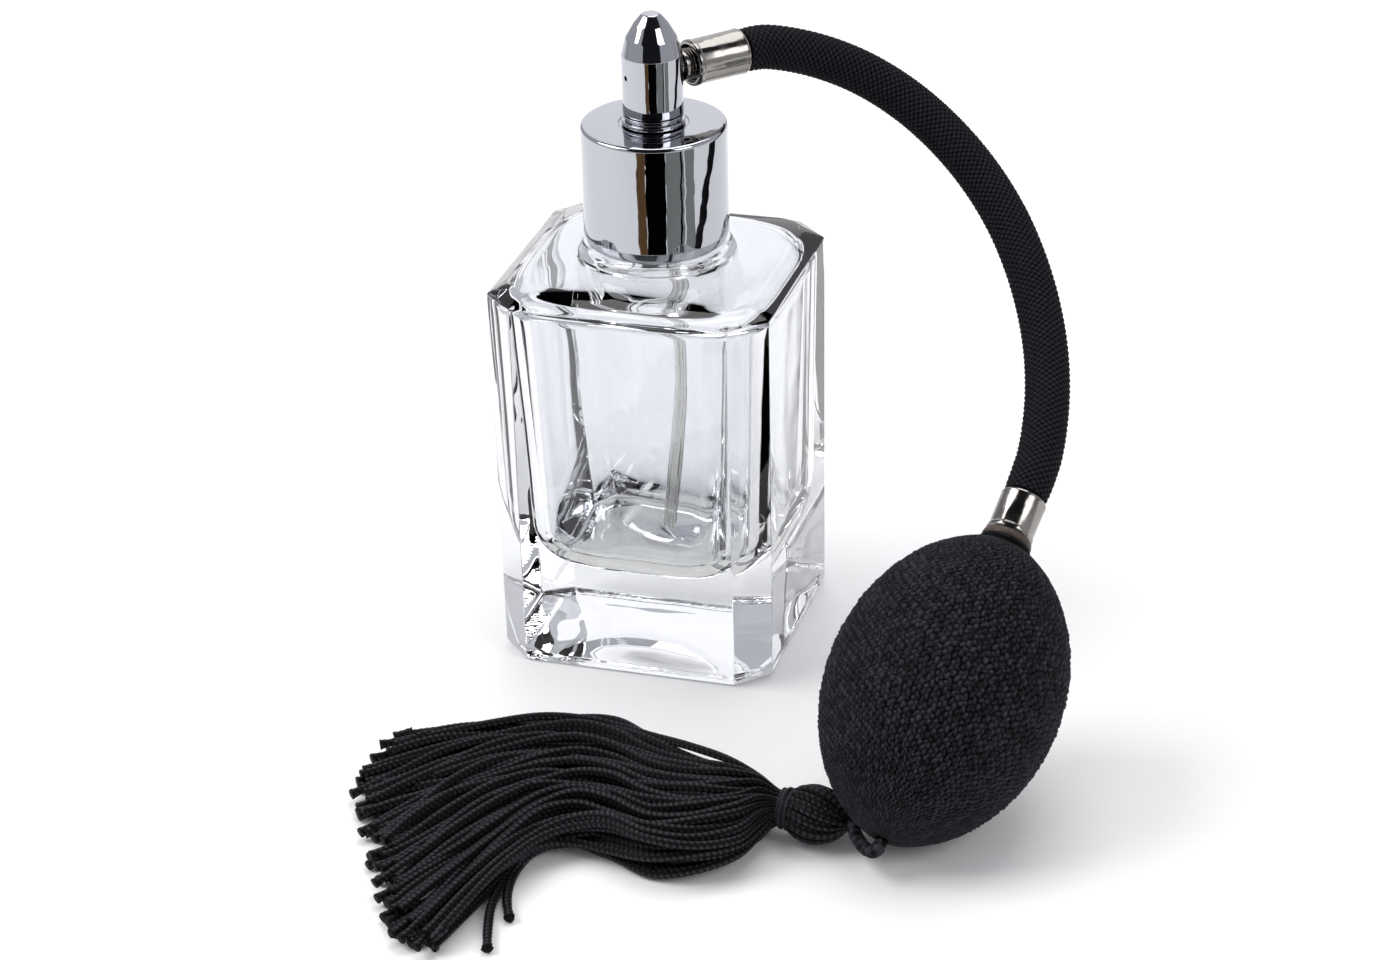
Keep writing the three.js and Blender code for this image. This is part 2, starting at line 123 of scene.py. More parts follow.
def addCamera(s):
    turn = math.radians(s["azimuth"])
    lift = math.radians(s["elevation"])
    roll = math.radians(s["roll"])
    back = Vector((math.sin(turn) * math.cos(lift), -math.cos(turn) * math.cos(lift), math.sin(lift)))
    level = Vector((0, 0, 1)).cross(back).normalized()
    upright = back.cross(level)
    right = level * math.cos(roll) + upright * math.sin(roll)
    up = upright * math.cos(roll) - level * math.sin(roll)
    place = Vector((0, 0, s["aimHeight"])) + back * s["distance"]
    place += right * s["slideRight"] + up * s["slideUp"]
    matrix = Matrix((right, up, back)).transposed().to_4x4()
    matrix.translation = place
    data = bpy.data.cameras.new("camera")
    data.lens = s["lens"]
    data.sensor_width = 36
    data.clip_start = 0.01
    camera = bpy.data.objects.new("camera", data)
    camera.matrix_world = matrix
    bpy.context.collection.objects.link(camera)
    bpy.context.scene.camera = camera


addCamera(cameraSet)
print("camera placed")


# Routes, rings and tubes for the soft pieces
def smoothRoute(points, step):
    # centripetal Catmull-Rom through the points, then even steps along it
    p = np.array(points, float)
    p = np.vstack([2 * p[0] - p[1], p, 2 * p[-1] - p[-2]])
    line = []
    for k in range(1, len(p) - 2):
        a, b, c, d = p[k - 1:k + 3]
        tb = np.linalg.norm(b - a) ** 0.5
        tc = tb + np.linalg.norm(c - b) ** 0.5
        td = tc + np.linalg.norm(d - c) ** 0.5
        for t in np.linspace(tb, tc, 24, endpoint=False):
            ab = a + (b - a) * t / tb
            bc = b + (c - b) * (t - tb) / (tc - tb)
            cd = c + (d - c) * (t - tc) / (td - tc)
            abc = ab + (bc - ab) * t / tc
            bcd = bc + (cd - bc) * (t - tb) / (td - tb)
            line.append(abc + (bcd - abc) * (t - tb) / (tc - tb))
    line.append(p[-2])
    line = np.array(line)
    run = np.concatenate([[0], np.cumsum(np.linalg.norm(np.diff(line, axis=0), axis=1))])
    even = np.linspace(0, run[-1], max(2, round(run[-1] / step)) + 1)
    return np.stack([np.interp(even, run, line[:, k]) for k in range(3)], axis=1), even


def frameAlong(path):
    # two directions across the path at each point, carried along it without twist
    tangents = np.gradient(path, axis=0)
    tangents /= np.linalg.norm(tangents, axis=1)[:, None]
    across = np.cross(tangents[0], [0, 0, 1.0])
    if np.linalg.norm(across) < 0.1:
        across = np.cross(tangents[0], [1.0, 0, 0])
    first = []
    for tangent in tangents:
        across = across - tangent * (across @ tangent)
        across = across / np.linalg.norm(across)
        first.append(across)
    first = np.array(first)
    return first, np.cross(tangents, first)


def tubeRings(path, radii, sides):
    # radii is one number, one for each point, or one for each point and side
    first, second = frameAlong(path)
    angles = np.arange(sides) / sides * 2 * math.pi
    radii = np.broadcast_to(np.asarray(radii, float).reshape(-1, 1) if np.ndim(radii) == 1 else radii,
                            (len(path), sides))
    spokes = first[:, None] * np.cos(angles)[None, :, None] + second[:, None] * np.sin(angles)[None, :, None]
    return path[:, None] + spokes * radii[..., None]


def ringMesh(name, tubes, reliefAndPaintedShade=None, joinEnds=False):
    # one mesh through stacks of rings; its UV map is turns round and ring number along
    points, faces, uvs = [], [], []
    offset = 0
    for rings in tubes:
        rows, around = rings.shape[:2]
        index = offset + np.arange(rows * around).reshape(rows, around)
        beside = np.roll(index, -1, axis=1)
        above = np.roll(index, -1, axis=0) if joinEnds else index[1:]
        aboveBeside = np.roll(beside, -1, axis=0) if joinEnds else beside[1:]
        last = rows if joinEnds else rows - 1
        quads = np.stack([index[:last], beside[:last], aboveBeside, above], axis=-1).reshape(-1, 4)
        u, v = np.meshgrid(np.arange(around) / around, np.arange(last), indexing="xy")
        near = np.stack([u, v], axis=-1)
        stepU, stepV = np.array([1 / around, 0]), np.array([0, 1])
        corners = np.stack([near, near + stepU, near + stepU + stepV, near + stepV], axis=2)
        points.append(rings.reshape(-1, 3))
        faces.extend(quads.tolist())
        uvs.append(corners.reshape(-1, 2))
        if not joinEnds:
            faces.append(index[0][::-1].tolist())
            faces.append(index[-1].tolist())
            uvs.append(np.tile([0.0, 0.0], (around, 1)))
            uvs.append(np.tile([0.0, float(rows)], (around, 1)))
        offset += rows * around
    mesh = bpy.data.meshes.new(name)
    mesh.from_pydata(np.concatenate(points).tolist(), [], faces)
    layer = mesh.uv_layers.new(name="pattern")
    layer.data.foreach_set("uv", np.concatenate(uvs).astype(np.float32).ravel())
    # the per-point relief values are the painted shade and highlight for the yarn colours
    if reliefAndPaintedShade is not None:
        shade = mesh.attributes.new("reliefAndPaintedShade", "FLOAT", "POINT")
        shade.data.foreach_set("value", np.asarray(reliefAndPaintedShade, np.float32).ravel())
    piece = bpy.data.objects.new(name, mesh)
    bpy.context.collection.objects.link(piece)
    makeActive(piece)
    bpy.ops.object.mode_set(mode="EDIT")
    bpy.ops.mesh.select_all(action="SELECT")
    bpy.ops.mesh.normals_make_consistent(inside=False)
    bpy.ops.object.mode_set(mode="OBJECT")
    bpy.ops.object.shade_smooth()
    return piece


# Yarns
def yarnMaterial(name, dark, light, fibres):
    # the relief attribute paints shade into the hollows between yarns and a highlight on their tops; fine
    # fibres run through each yarn
    material, tree, shader = newMaterial(name, {
        "Roughness": 0.55,
        "Specular IOR Level": fibres["gloss"],
        "Sheen Weight": fibres["sheen"],
        "Sheen Roughness": 0.4,
        "Sheen Tint": hexColour(fibres["sheenColour"]),
    })
    reliefAndPaintedShade = addNode(tree, "ShaderNodeAttribute", attribute_name="reliefAndPaintedShade")
    place = addNode(tree, "ShaderNodeTexCoord")
    fuzz = addNode(tree, "ShaderNodeTexNoise", {"Scale": 1 / fibres["fuzz"], "Detail": 3.0},
                   {"Vector": place.outputs["Object"]})
    lit = addNode(tree, "ShaderNodeMath", None, {0: fuzz.outputs["Fac"], 1: reliefAndPaintedShade.outputs["Fac"]},
                  operation="MULTIPLY")
    share = addNode(tree, "ShaderNodeMapRange", {"From Min": 0.04, "From Max": 0.5},
                    {"Value": lit.outputs[0]})
    # dark is the painted shade of the hollows, light the painted highlight on the yarn tops
    colour = addNode(tree, "ShaderNodeMix", {6: hexColour(dark), 7: hexColour(light)},
                     {0: share.outputs["Result"]}, data_type="RGBA")
    tree.links.new(colour.outputs[2], shader.inputs["Base Color"])
    bump = addNode(tree, "ShaderNodeBump", {"Strength": 0.8, "Distance": 0.12 * mm},
                   {"Height": fuzz.outputs["Fac"]})
    tree.links.new(bump.outputs["Normal"], shader.inputs["Normal"])
    return material


# Polyester braid: hard glossy filament, near black, brown where it is lit from the side; the tops of its
# yarns are painted grey as highlight
polyesterBraid = yarnMaterial("polyester_braid", "#020202", "#29292e",
                              {"gloss": 0.05, "sheen": 0.03, "sheenColour": "#6a6460", "fuzz": 0.25 * mm})
# Elastic knit: matt textured yarn; the tops of the stitches are painted grey as highlight, flecked at random
elasticKnit = yarnMaterial("elastic_knit", "#020203", "#38393e",
                           {"gloss": 0.06, "sheen": 0.03, "sheenColour": "#77797e", "fuzz": 0.22 * mm})
# Rayon chainette: soft lustre, and each small stitch painted a lighter point as highlight
rayonChainette = yarnMaterial("rayon_chainette", "#070708", "#434449",
                              {"gloss": 0.1, "sheen": 0.03, "sheenColour": "#7a7c82", "fuzz": 0.25 * mm})

# Hose: 18 yarns each way braided over a rubber tube
hose = {
    "yarnsEachWay": 18,
    "pitch": 17 * mm,            # one full turn of a yarn along the hose
    "coreRadius": 2.92 * mm,
    "yarnHeight": 0.4 * mm,
    "overUnder": 0.26 * mm,
    "samplesPerYarn": 8,
    "alongStep": 0.2 * mm,
    "route": [
        (0.0111, 0.0123, 0.0955),
        (0.0140, 0.0153, 0.0952),
        (0.0205, 0.0196, 0.0929),
        (0.0275, 0.0224, 0.0895),
        (0.0345, 0.0235, 0.0851),
        (0.0411, 0.0229, 0.0801),
        (0.0472, 0.0206, 0.0748),
        (0.0525, 0.0169, 0.0694),
        (0.0568, 0.0121, 0.0641),
        (0.0603, 0.0064, 0.0589),
        (0.0629, 0.0001, 0.0539),
        (0.0645, -0.0066, 0.0491),
        (0.0651, -0.0136, 0.0444),
        (0.0648, -0.0174, 0.0420),
        (0.0642, -0.0205, 0.0398),
    ],
}


def hoseBraid(s):
    path, along = smoothRoute(s["route"], s["alongStep"])
    count = s["yarnsEachWay"]
    sides = count * s["samplesPerYarn"]
    turn, run = np.meshgrid(np.arange(sides) / sides, along / s["pitch"], indexing="xy")
    left = count * (turn - run)
    right = count * (turn + run)
    leftYarn, rightYarn = np.floor(left), np.floor(right)
    leftHeight = np.sqrt(np.clip(1 - (1.9 * (left - leftYarn - 0.5)) ** 2, 0, 1)) * s["yarnHeight"]
    rightHeight = np.sqrt(np.clip(1 - (1.9 * (right - rightYarn - 0.5)) ** 2, 0, 1)) * s["yarnHeight"]
    leftHeight = leftHeight + s["overUnder"] * np.cos(math.pi * (right - 0.5 + leftYarn))
    rightHeight = rightHeight - s["overUnder"] * np.cos(math.pi * (left - 0.5 + rightYarn))
    height = np.maximum(np.maximum(leftHeight, rightHeight), 0)
    tuck = 1 - 0.05 * np.exp(-np.minimum(along, along[-1] - along) / (1.2 * mm))
    radii = (s["coreRadius"] + height) * tuck[:, None]
    # painted shade in the hollows of the braid and a painted highlight on the yarn tops, taken from their
    # height
    reliefAndPaintedShade = np.clip(height / height.max() * 2.0 - 1.0, 0, 1)
    piece = ringMesh("hose_braided_sleeve", [tubeRings(path, radii, sides)], reliefAndPaintedShade=reliefAndPaintedShade)
    finishPiece(piece, None, "hose_yarn", polyesterBraid, "hose_braid", "hose_inner_tube")
    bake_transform(piece)
    return piece


hoseBraid(hose)

# Glass bottle
# Pressed soda-lime glass: clear, with soft ripples that bend the light; its grey tint is painted shade,
# dimming what is seen through it as a darker backdrop would
bottle = {
    "halfWidth": 23 * mm,
    "halfDepth": 22 * mm,
    "chamfer": 5.3 * mm,
    "draft": 0.4 * mm,
    "edge": 0.45 * mm,
    "shoulder": 62.9 * mm,
    "bevelWidth": 2.9 * mm,
    "bevelRise": 1.6 * mm,
    "plateau": 65.7 * mm,
    "beadRadius": 12.3 * mm,
    "neckRadius": 8.7 * mm,
    "neckTop": 82 * mm,
    "bore": 7.4 * mm,
    "cavityHalfWidth": 20.1 * mm,
    "cavityHalfDepth": 19.1 * mm,
    "cavityTaper": 0.1,          # how much narrower the cavity is at its foot
    "cavityFloor": 14.8 * mm,
    "cavityWallTop": 59.9 * mm,
    "cavityCeiling": 61.3 * mm,
    "punt": 1.5 * mm,
    "wobble": 0.2 * mm,
    "sideSteps": 14,
    "cornerSteps": 6,
}


def octagonRing(s, z, inset, corner, roundShare=0.0, roundRadius=0.0):
    # the bottle's eight-sided outline moved in by inset, its corners rounded, and drawn towards a circle
    w, d = s["halfWidth"] - inset, s["halfDepth"] - inset
    leg = max(s["chamfer"] - inset * (2 - math.sqrt(2)), 0.05 * mm)
    corners = [Vector(p) for p in (
        (w, -d + leg), (w, d - leg), (w - leg, d), (-w + leg, d),
        (-w, d - leg), (-w, -d + leg), (-w + leg, -d), (w - leg, -d))]
    ring = []
    for k, place in enumerate(corners):
        before, after = corners[k - 1], corners[(k + 1) % 8]
        reach = min(corner * math.tan(math.radians(22.5)), (place - before).length * 0.48,
                    (place - after).length * 0.48)
        start = place + (before - place).normalized() * reach
        end = place + (after - place).normalized() * reach
        for j in range(s["cornerSteps"] + 1):
            t = j / s["cornerSteps"]
            ring.append(start * (1 - t) ** 2 + place * 2 * t * (1 - t) + end * t * t)
        following = corners[(k + 2) % 8]
        nextReach = min(corner * math.tan(math.radians(22.5)), (after - place).length * 0.48,
                        (following - after).length * 0.48)
        nextStart = after + (place - after).normalized() * nextReach
        steps = s["sideSteps"] if k % 2 == 0 else 4
        for j in range(1, steps):
            # points crowd towards the ends of a side, so that its middle stays flat
            t = 0.5 - 0.5 * math.cos(math.pi * j / steps)
            ring.append(end.lerp(nextStart, t))
    if roundShare == 0:
        return np.array([(p.x, p.y, z) for p in ring])
    spread = octagonRing(s, 0, 0, 9 * mm)
    headings = np.arctan2(spread[:, 1], spread[:, 0])
    circle = np.stack([np.cos(headings), np.sin(headings)], axis=1) * roundRadius
    flat = np.array([(p.x, p.y) for p in ring]) * (1 - roundShare) + circle * roundShare
    return np.column_stack([flat, np.full(len(flat), z)])


def cavityRing(s, z, share, headings, roundShare=0.0):
    # a rounded square; share scales it, and roundShare draws it towards the bore's circle
    out = []
    for heading in headings:
        c, n = math.cos(heading), math.sin(heading)
        reach = ((abs(c) / s["cavityHalfWidth"]) ** 4.4
                 + (abs(n) / s["cavityHalfDepth"]) ** 4.4) ** (-1 / 4.4)
        r = reach * share * (1 - roundShare) + s["bore"] * roundShare
        dent = noise.noise(Vector((c * 1.9, n * 1.9, z / (24 * mm)))) + 0.5 * noise.noise(
            Vector((c * 5, n * 5, z / (30 * mm) + 7)))
        r += dent * s["wobble"] * (1 - roundShare)
        out.append((r * c, r * n, z))
    return np.array(out)


def glassBottle(s):
    outer = octagonRing(s, 0, 0, 9 * mm)
    headings = np.arctan2(outer[:, 1], outer[:, 0])
    rings = []
    # underside, from the middle of the hollow punt out to the bearing edge
    for share in (0.04, 0.15, 0.3, 0.45, 0.6, 0.75, 0.88, 0.97, 1.0):
        z = s["punt"] * (1 - share ** 2.4) ** 1.3 + 0.25 * mm
        rings.append(octagonRing(s, z, s["halfWidth"] * (1 - share) * 0.8 + 4.4 * mm, 6 * mm,
                                 (1 - share) ** 0.7, share * 14 * mm + 0.4 * mm))
    rings.append(octagonRing(s, 0, 3.9 * mm, 4 * mm))
    rings.append(octagonRing(s, 0, s["draft"] + 1.5 * mm, 1.5 * mm))
    for k in range(5):
        a = math.pi / 2 * k / 4
        rings.append(octagonRing(s, 0.9 * mm * (1 - math.cos(a)),
                                 s["draft"] + 0.9 * mm * (1 - math.sin(a)), s["edge"]))
    # upright faces, with a little draft
    for share in (0.02, 0.25, 0.5, 0.75, 0.985, 1.0):
        z = 0.9 * mm + (s["shoulder"] - 1.2 * mm) * share
        rings.append(octagonRing(s, z, s["draft"] * (1 - share), s["edge"]))
    # shoulder edge, its sloping band, and the raised top with rounder corners
    rings.append(octagonRing(s, s["shoulder"] - 0.08 * mm, 0.06 * mm, s["edge"]))
    rings.append(octagonRing(s, s["shoulder"] + 0.1 * mm, 0.24 * mm, s["edge"]))
    rings.append(octagonRing(s, s["shoulder"] + 0.3 * mm, 0.55 * mm, 0.8 * mm))
    bandTop = s["shoulder"] + s["bevelRise"]
    rings.append(octagonRing(s, bandTop - 0.2 * mm, s["bevelWidth"] - 0.4 * mm, 5 * mm))
    rings.append(octagonRing(s, bandTop, s["bevelWidth"], 5.5 * mm))
    rings.append(octagonRing(s, bandTop + 0.1 * mm, s["bevelWidth"] + 0.3 * mm, 6 * mm))
    for share in (0.12, 0.3, 0.5, 0.7, 0.85, 1.0):
        z = bandTop + 0.1 * mm + (s["plateau"] - bandTop) * share ** 0.85
        rings.append(octagonRing(s, z, s["bevelWidth"] + 0.3 * mm + 4 * mm * share, 7 * mm, share,
                                 s["beadRadius"] + 1.2 * mm + 6 * mm * (1 - share)))
    around = [(s["beadRadius"] + 0.35 * mm, 0.25), (s["beadRadius"], 0.6), (s["beadRadius"] - 0.1 * mm, 1.1),
              (s["beadRadius"] - 0.5 * mm, 1.6), (s["beadRadius"] - 1.2 * mm, 1.85),
              (s["neckRadius"] + 0.5 * mm, 1.9), (s["neckRadius"] + 0.1 * mm, 2.1), (s["neckRadius"], 2.5)]
    for radius, rise in around:
        rings.append(octagonRing(s, s["plateau"] + rise * mm, 0, 0, 1, radius))
    # neck, lip and bore
    for radius, z in ((s["neckRadius"], s["neckTop"] - 1 * mm),
                      (s["neckRadius"] - 0.1 * mm, s["neckTop"] - 0.3 * mm),
                      (s["neckRadius"] - 0.4 * mm, s["neckTop"]), (s["bore"] + 0.3 * mm, s["neckTop"]),
                      (s["bore"], s["neckTop"] - 0.3 * mm), (s["bore"], s["cavityCeiling"] + 3.6 * mm),
                      (s["bore"] + 0.4 * mm, s["cavityCeiling"] + 2.4 * mm)):
        rings.append(octagonRing(s, z, 0, 0, 1, radius))
    # cavity: a ceiling that follows the shoulder, tapering walls, round floor
    for share in (0.1, 0.3, 0.5, 0.7, 0.84):
        rings.append(cavityRing(s, s["cavityCeiling"] + 1.6 * mm * (1 - share) ** 2, share, headings,
                                (1 - share) ** 1.5))
    for k in range(1, 9):
        a = math.pi / 2 * k / 8
        rise = (s["cavityCeiling"] - s["cavityWallTop"]) * math.cos(a)
        rings.append(cavityRing(s, s["cavityWallTop"] + rise, 0.86 + 0.14 * math.sin(a), headings))
    wallTop, wallFoot = s["cavityWallTop"], s["cavityFloor"] + 8 * mm
    for k in range(1, 22):
        share = k / 21
        rings.append(cavityRing(s, wallTop + (wallFoot - wallTop) * share,
                                1 - s["cavityTaper"] * share, headings))
    foot = 1 - s["cavityTaper"]
    for k in range(1, 12):
        a = math.pi / 2 * k / 12
        rings.append(cavityRing(s, wallFoot - 8 * mm * math.sin(a),
                                foot - 0.44 * (1 - math.cos(a)), headings))
    for share in (0.42, 0.34, 0.25, 0.16, 0.08, 0.03):
        rings.append(cavityRing(s, s["cavityFloor"] + 0.4 * mm * (1 - (share / 0.46) ** 2), share, headings))
    piece = ringMesh("bottle_glass", [np.array(rings)])
    makeActive(piece)
    bpy.ops.object.modifier_add(type="WEIGHTED_NORMAL")
    piece.modifiers[-1].keep_sharp = True
    bpy.ops.object.modifier_apply(modifier=piece.modifiers[-1].name)
    # the grey base colour is painted shade that dims the glass
    material, tree, shader = newMaterial("pressed_soda_glass", {
        "Base Color": hexColour("#ecedf0"),
        "Roughness": 0.0,
        "IOR": 1.5,
        "Transmission Weight": 1.0,
    })
    place = addNode(tree, "ShaderNodeTexCoord")
    height = addNode(tree, "ShaderNodeSeparateXYZ", None, {0: place.outputs["Object"]})
    ripple = addNode(tree, "ShaderNodeTexNoise", {"Scale": 1 / (11 * mm), "Detail": 1.0},
                     {"Vector": place.outputs["Object"]})
    stipple = addNode(tree, "ShaderNodeTexVoronoi", {"Scale": 1 / (0.9 * mm)},
                      {"Vector": place.outputs["Object"]}, feature="SMOOTH_F1")
    foot = addNode(tree, "ShaderNodeMapRange", {"From Min": 0.12 * mm, "From Max": 0.04 * mm},
                   {"Value": height.outputs["Z"]})
    knurl = addNode(tree, "ShaderNodeMath", None, {0: stipple.outputs["Distance"], 1: foot.outputs["Result"]},
                    operation="MULTIPLY")
    soft = addNode(tree, "ShaderNodeBump", {"Strength": 0.35, "Distance": 0.25 * mm},
                   {"Height": ripple.outputs["Fac"]})
    bumps = addNode(tree, "ShaderNodeBump", {"Strength": 1.0, "Distance": 0.04 * mm},
                    {"Height": knurl.outputs[0], "Normal": soft.outputs["Normal"]})
    tree.links.new(bumps.outputs["Normal"], shader.inputs["Normal"])
    return finishPiece(piece, "bottle", "glass", material, "glass_bottle")


glassBottle(bottle)


# Turned metal
def outline(corners, closed):
    # corners are (radius, height, fillet); a fillet is drawn as a short curve
    points = []
    count = len(corners)
    for k, (r, z, fillet) in enumerate(corners):
        corner = Vector((r, z))
        if fillet == 0 or (not closed and k in (0, count - 1)):
            points.append(corner)
            continue
        before = (Vector(corners[k - 1][:2]) - corner).normalized()
        after = (Vector(corners[(k + 1) % count][:2]) - corner).normalized()
        reach = fillet / math.tan(before.angle(after) / 2)
        start, end = corner + before * reach, corner + after * reach
        for j in range(7):
            t = j / 6
            points.append(start * (1 - t) ** 2 + corner * 2 * t * (1 - t) + end * t * t)
    return points


def spunPiece(name, corners, foot=(0, 0, 0), direction=(0, 0, 1), steps=96):
    # corners in millimetres; the outline is spun about the axis, then laid along its direction
    onAxis = corners[0][0] == 0 and corners[-1][0] == 0
    points = outline(corners, not onAxis)
    edges = [(k, (k + 1) % len(points)) for k in range(len(points) - (1 if onAxis else 0))]
    mesh = bpy.data.meshes.new(name)
    mesh.from_pydata([(p.x * mm, 0, p.y * mm) for p in points], edges, [])
    piece = bpy.data.objects.new(name, mesh)
    bpy.context.collection.objects.link(piece)
    makeActive(piece)
    bpy.ops.object.mode_set(mode="EDIT")
    bpy.ops.mesh.select_all(action="SELECT")
    bpy.ops.mesh.spin(steps=steps, angle=2 * math.pi, center=(0, 0, 0), axis=(0, 0, 1))
    bpy.ops.mesh.select_all(action="SELECT")
    bpy.ops.mesh.remove_doubles(threshold=0.002 * mm)
    bpy.ops.mesh.normals_make_consistent(inside=False)
    bpy.ops.object.mode_set(mode="OBJECT")
    turn = Vector((0, 0, 1)).rotation_difference(Vector(direction)).to_matrix().to_4x4()
    piece.data.transform(Matrix.Translation(Vector(foot)) @ turn)
    makeActive(piece)
    bpy.ops.object.shade_smooth_by_angle(angle=math.radians(28))
    return piece


def polishedMetal(name, colour, roughness, waviness, waveLength):
    # waviness is how deep the soft waves in the surface are, so that straight reflections wobble
    material, tree, shader = newMaterial(name, {"Base Color": hexColour(colour), "Metallic": 1.0})
    place = addNode(tree, "ShaderNodeTexCoord")
    wave = addNode(tree, "ShaderNodeTexNoise", {"Scale": 1 / waveLength, "Detail": 1.0},
                   {"Vector": place.outputs["Object"]})
    haze = addNode(tree, "ShaderNodeTexNoise", {"Scale": 1 / (2.5 * mm), "Detail": 4.0},
                   {"Vector": place.outputs["Object"]})
    rough = addNode(tree, "ShaderNodeMapRange", {"From Min": 0.35, "From Max": 0.75,
                                                 "To Min": roughness * 0.6, "To Max": roughness * 1.5},
                    {"Value": haze.outputs["Fac"]})
    tree.links.new(rough.outputs["Result"], shader.inputs["Roughness"])
    bump = addNode(tree, "ShaderNodeBump", {"Strength": 1.0, "Distance": waviness},
                   {"Height": wave.outputs["Fac"]})
    tree.links.new(bump.outputs["Normal"], shader.inputs["Normal"])
    return material


# Bright chromium on brass: a near mirror, cold grey, soft waves from hand polishing
chromedBrass = polishedMetal("chromed_brass", "#b4b5bb", 0.035, 0.09 * mm, 5 * mm)
# Nickel plate from a barrel: warmer and hazier than chromium
barrelNickel = polishedMetal("barrel_nickel", "#96928e", 0.16, 0.06 * mm, 2.2 * mm)

portTurn = math.radians(48)
portDirection = Vector((math.cos(portTurn), math.sin(portTurn), 0))
portPoint = Vector((0, 0, 95.5 * mm))

collarCorners = [
    (3.2, 86.2, 0), (10.75, 86.2, 0), (10.75, 69.7, 0), (10.3, 67.75, 0), (10.75, 67.7, 0.15),
    (11.2, 68.1, 0.25), (11.55, 69.6, 0.5), (11.55, 87.3, 0.75), (5.6, 87.3, 0.1), (5.4, 87.15, 0.05),
    (3.2, 87.15, 0),
]
finishPiece(spunPiece("collar_chrome", collarCorners, steps=128), "collar", "chrome", chromedBrass,
            "collar_shell")

swivelCorners = [
    (3.0, 87.4, 0), (5.0, 87.4, 0.1), (5.0, 88.0, 0.15), (4.3, 88.15, 0.1), (4.3, 88.45, 0.1),
    (4.8, 88.6, 0.15), (4.8, 88.95, 0.1), (3.0, 88.95, 0),
]
finishPiece(spunPiece("swivel_chrome", swivelCorners), "nozzle", "chrome", chromedBrass, "swivel_ring")


def cutWith(piece, tool):
    makeActive(piece)
    bpy.ops.object.modifier_add(type="BOOLEAN")
    piece.modifiers[-1].operation = "DIFFERENCE"
    piece.modifiers[-1].object = tool
    piece.modifiers[-1].solver = "EXACT"
    bpy.ops.object.modifier_apply(modifier=piece.modifiers[-1].name)
    bpy.data.objects.remove(tool)


def nozzle():
    corners = [
        (0, 98.2, 0), (1.8, 98.2, 0), (1.8, 89.1, 0), (4.8, 89.1, 0.25), (4.8, 98.7, 0.5), (4.05, 101.4, 1.5),
        (2.75, 103.6, 1.5), (1.4, 105.2, 0.6), (0, 105.2, 0),
    ]
    piece = spunPiece("nozzle_chrome", corners, steps=128)
    for name, radius, direction in (("port", 1.9, portDirection), ("jet", 0.42, -portDirection)):
        tool = spunPiece(name, [(0, 1, 0), (radius, 1, 0), (radius, 7, 0), (0, 7, 0)], portPoint,
                         direction, 32)
        cutWith(piece, tool)
    makeActive(piece)
    bpy.ops.object.shade_smooth_by_angle(angle=math.radians(28))
    return finishPiece(piece, "nozzle", "chrome", chromedBrass, "nozzle_body")


nozzle()

# The nipple between the nozzle and the ferrule: fine thread turns show in the ferrule's mouth
nippleCorners = [(0.8, 1.9, 0), (1.8, 1.9, 0), (1.8, 5.0, 0), (2.5, 5.0, 0.1), (2.5, 5.5, 0.1), (2.1, 5.6, 0)]
for ring in range(5):
    start = 5.8 + ring * 0.55
    nippleCorners += [(2.1, start, 0), (2.55, start + 0.2, 0.08), (2.1, start + 0.4, 0)]
nippleCorners += [(1.9, 8.6, 0), (1.9, 15.5, 0), (0.8, 15.5, 0)]
finishPiece(spunPiece("nipple_nickel", nippleCorners, portPoint, portDirection, 64), "nozzle", "nickel",
            barrelNickel, "hose_nipple")


def ferruleCorners(length):
    # a rolled lip round the open mouth, a step inside it, and a rim turned in over the hose
    return [(2.7, 1.8, 0), (2.95, 1.7, 0), (2.95, 0.35, 0.1), (3.1, 0, 0.15), (3.55, 0, 0.25),
            (3.72, 0.35, 0.25), (3.72, 0.8, 0.2), (3.58, 1.05, 0.15), (3.6, length - 0.5, 0),
            (3.68, length - 0.3, 0.1),
            (3.6, length, 0.15), (2.7, length, 0)]


finishPiece(spunPiece("upper_ferrule_nickel", ferruleCorners(9.4), portPoint + portDirection * 6.6 * mm,
                      portDirection, 64), "nozzle", "nickel", barrelNickel, "upper_ferrule")

# Bulb directions
bulbTilt, bulbHeading = math.radians(33.9), math.radians(77.8)
bulbAxis = Vector((math.cos(bulbTilt) * math.cos(bulbHeading), math.cos(bulbTilt) * math.sin(bulbHeading),
                   math.sin(bulbTilt)))
bulbUpper = Vector((-math.sin(bulbTilt) * math.cos(bulbHeading), -math.sin(bulbTilt) * math.sin(bulbHeading),
                    math.cos(bulbTilt)))
bulbSide = bulbAxis.cross(bulbUpper)
bulbCentre = Vector((58.2, -48.3, 20.7)) * mm

finishPiece(spunPiece("lower_ferrule_nickel", ferruleCorners(6.8), bulbCentre + bulbAxis * 26.9 * mm,
                      bulbAxis, 64),
            "bulb", "nickel", barrelNickel, "lower_ferrule")


# Bulb: a knitted cover stretched over rubber
bulb = {
    "radius": 17.85 * mm,
    "halfLength": 25.9 * mm,
    "power": 0.6,
    "hoseEnd": 25.6 * mm,
    "mouth": 3.9 * mm,           # radius of the cover where it meets the rubber lip
    "tailEnd": -25.6 * mm,
    "stitchesRound": 72,         # each stitch is two leaning legs
    "rows": 60,
    "samplesRound": 6,
    "rings": 200,
    "stitchHeight": 0.75 * mm,
    "cover": 0.9 * mm,
    "rubber": 1.5 * mm,
    "twist": 1.6,                # stitches that a column drifts round from end to end
}


def bulbRadius(s, along, inset):
    return s["radius"] * np.clip(1 - (along / s["halfLength"]) ** 2, 0, 1) ** s["power"] - inset


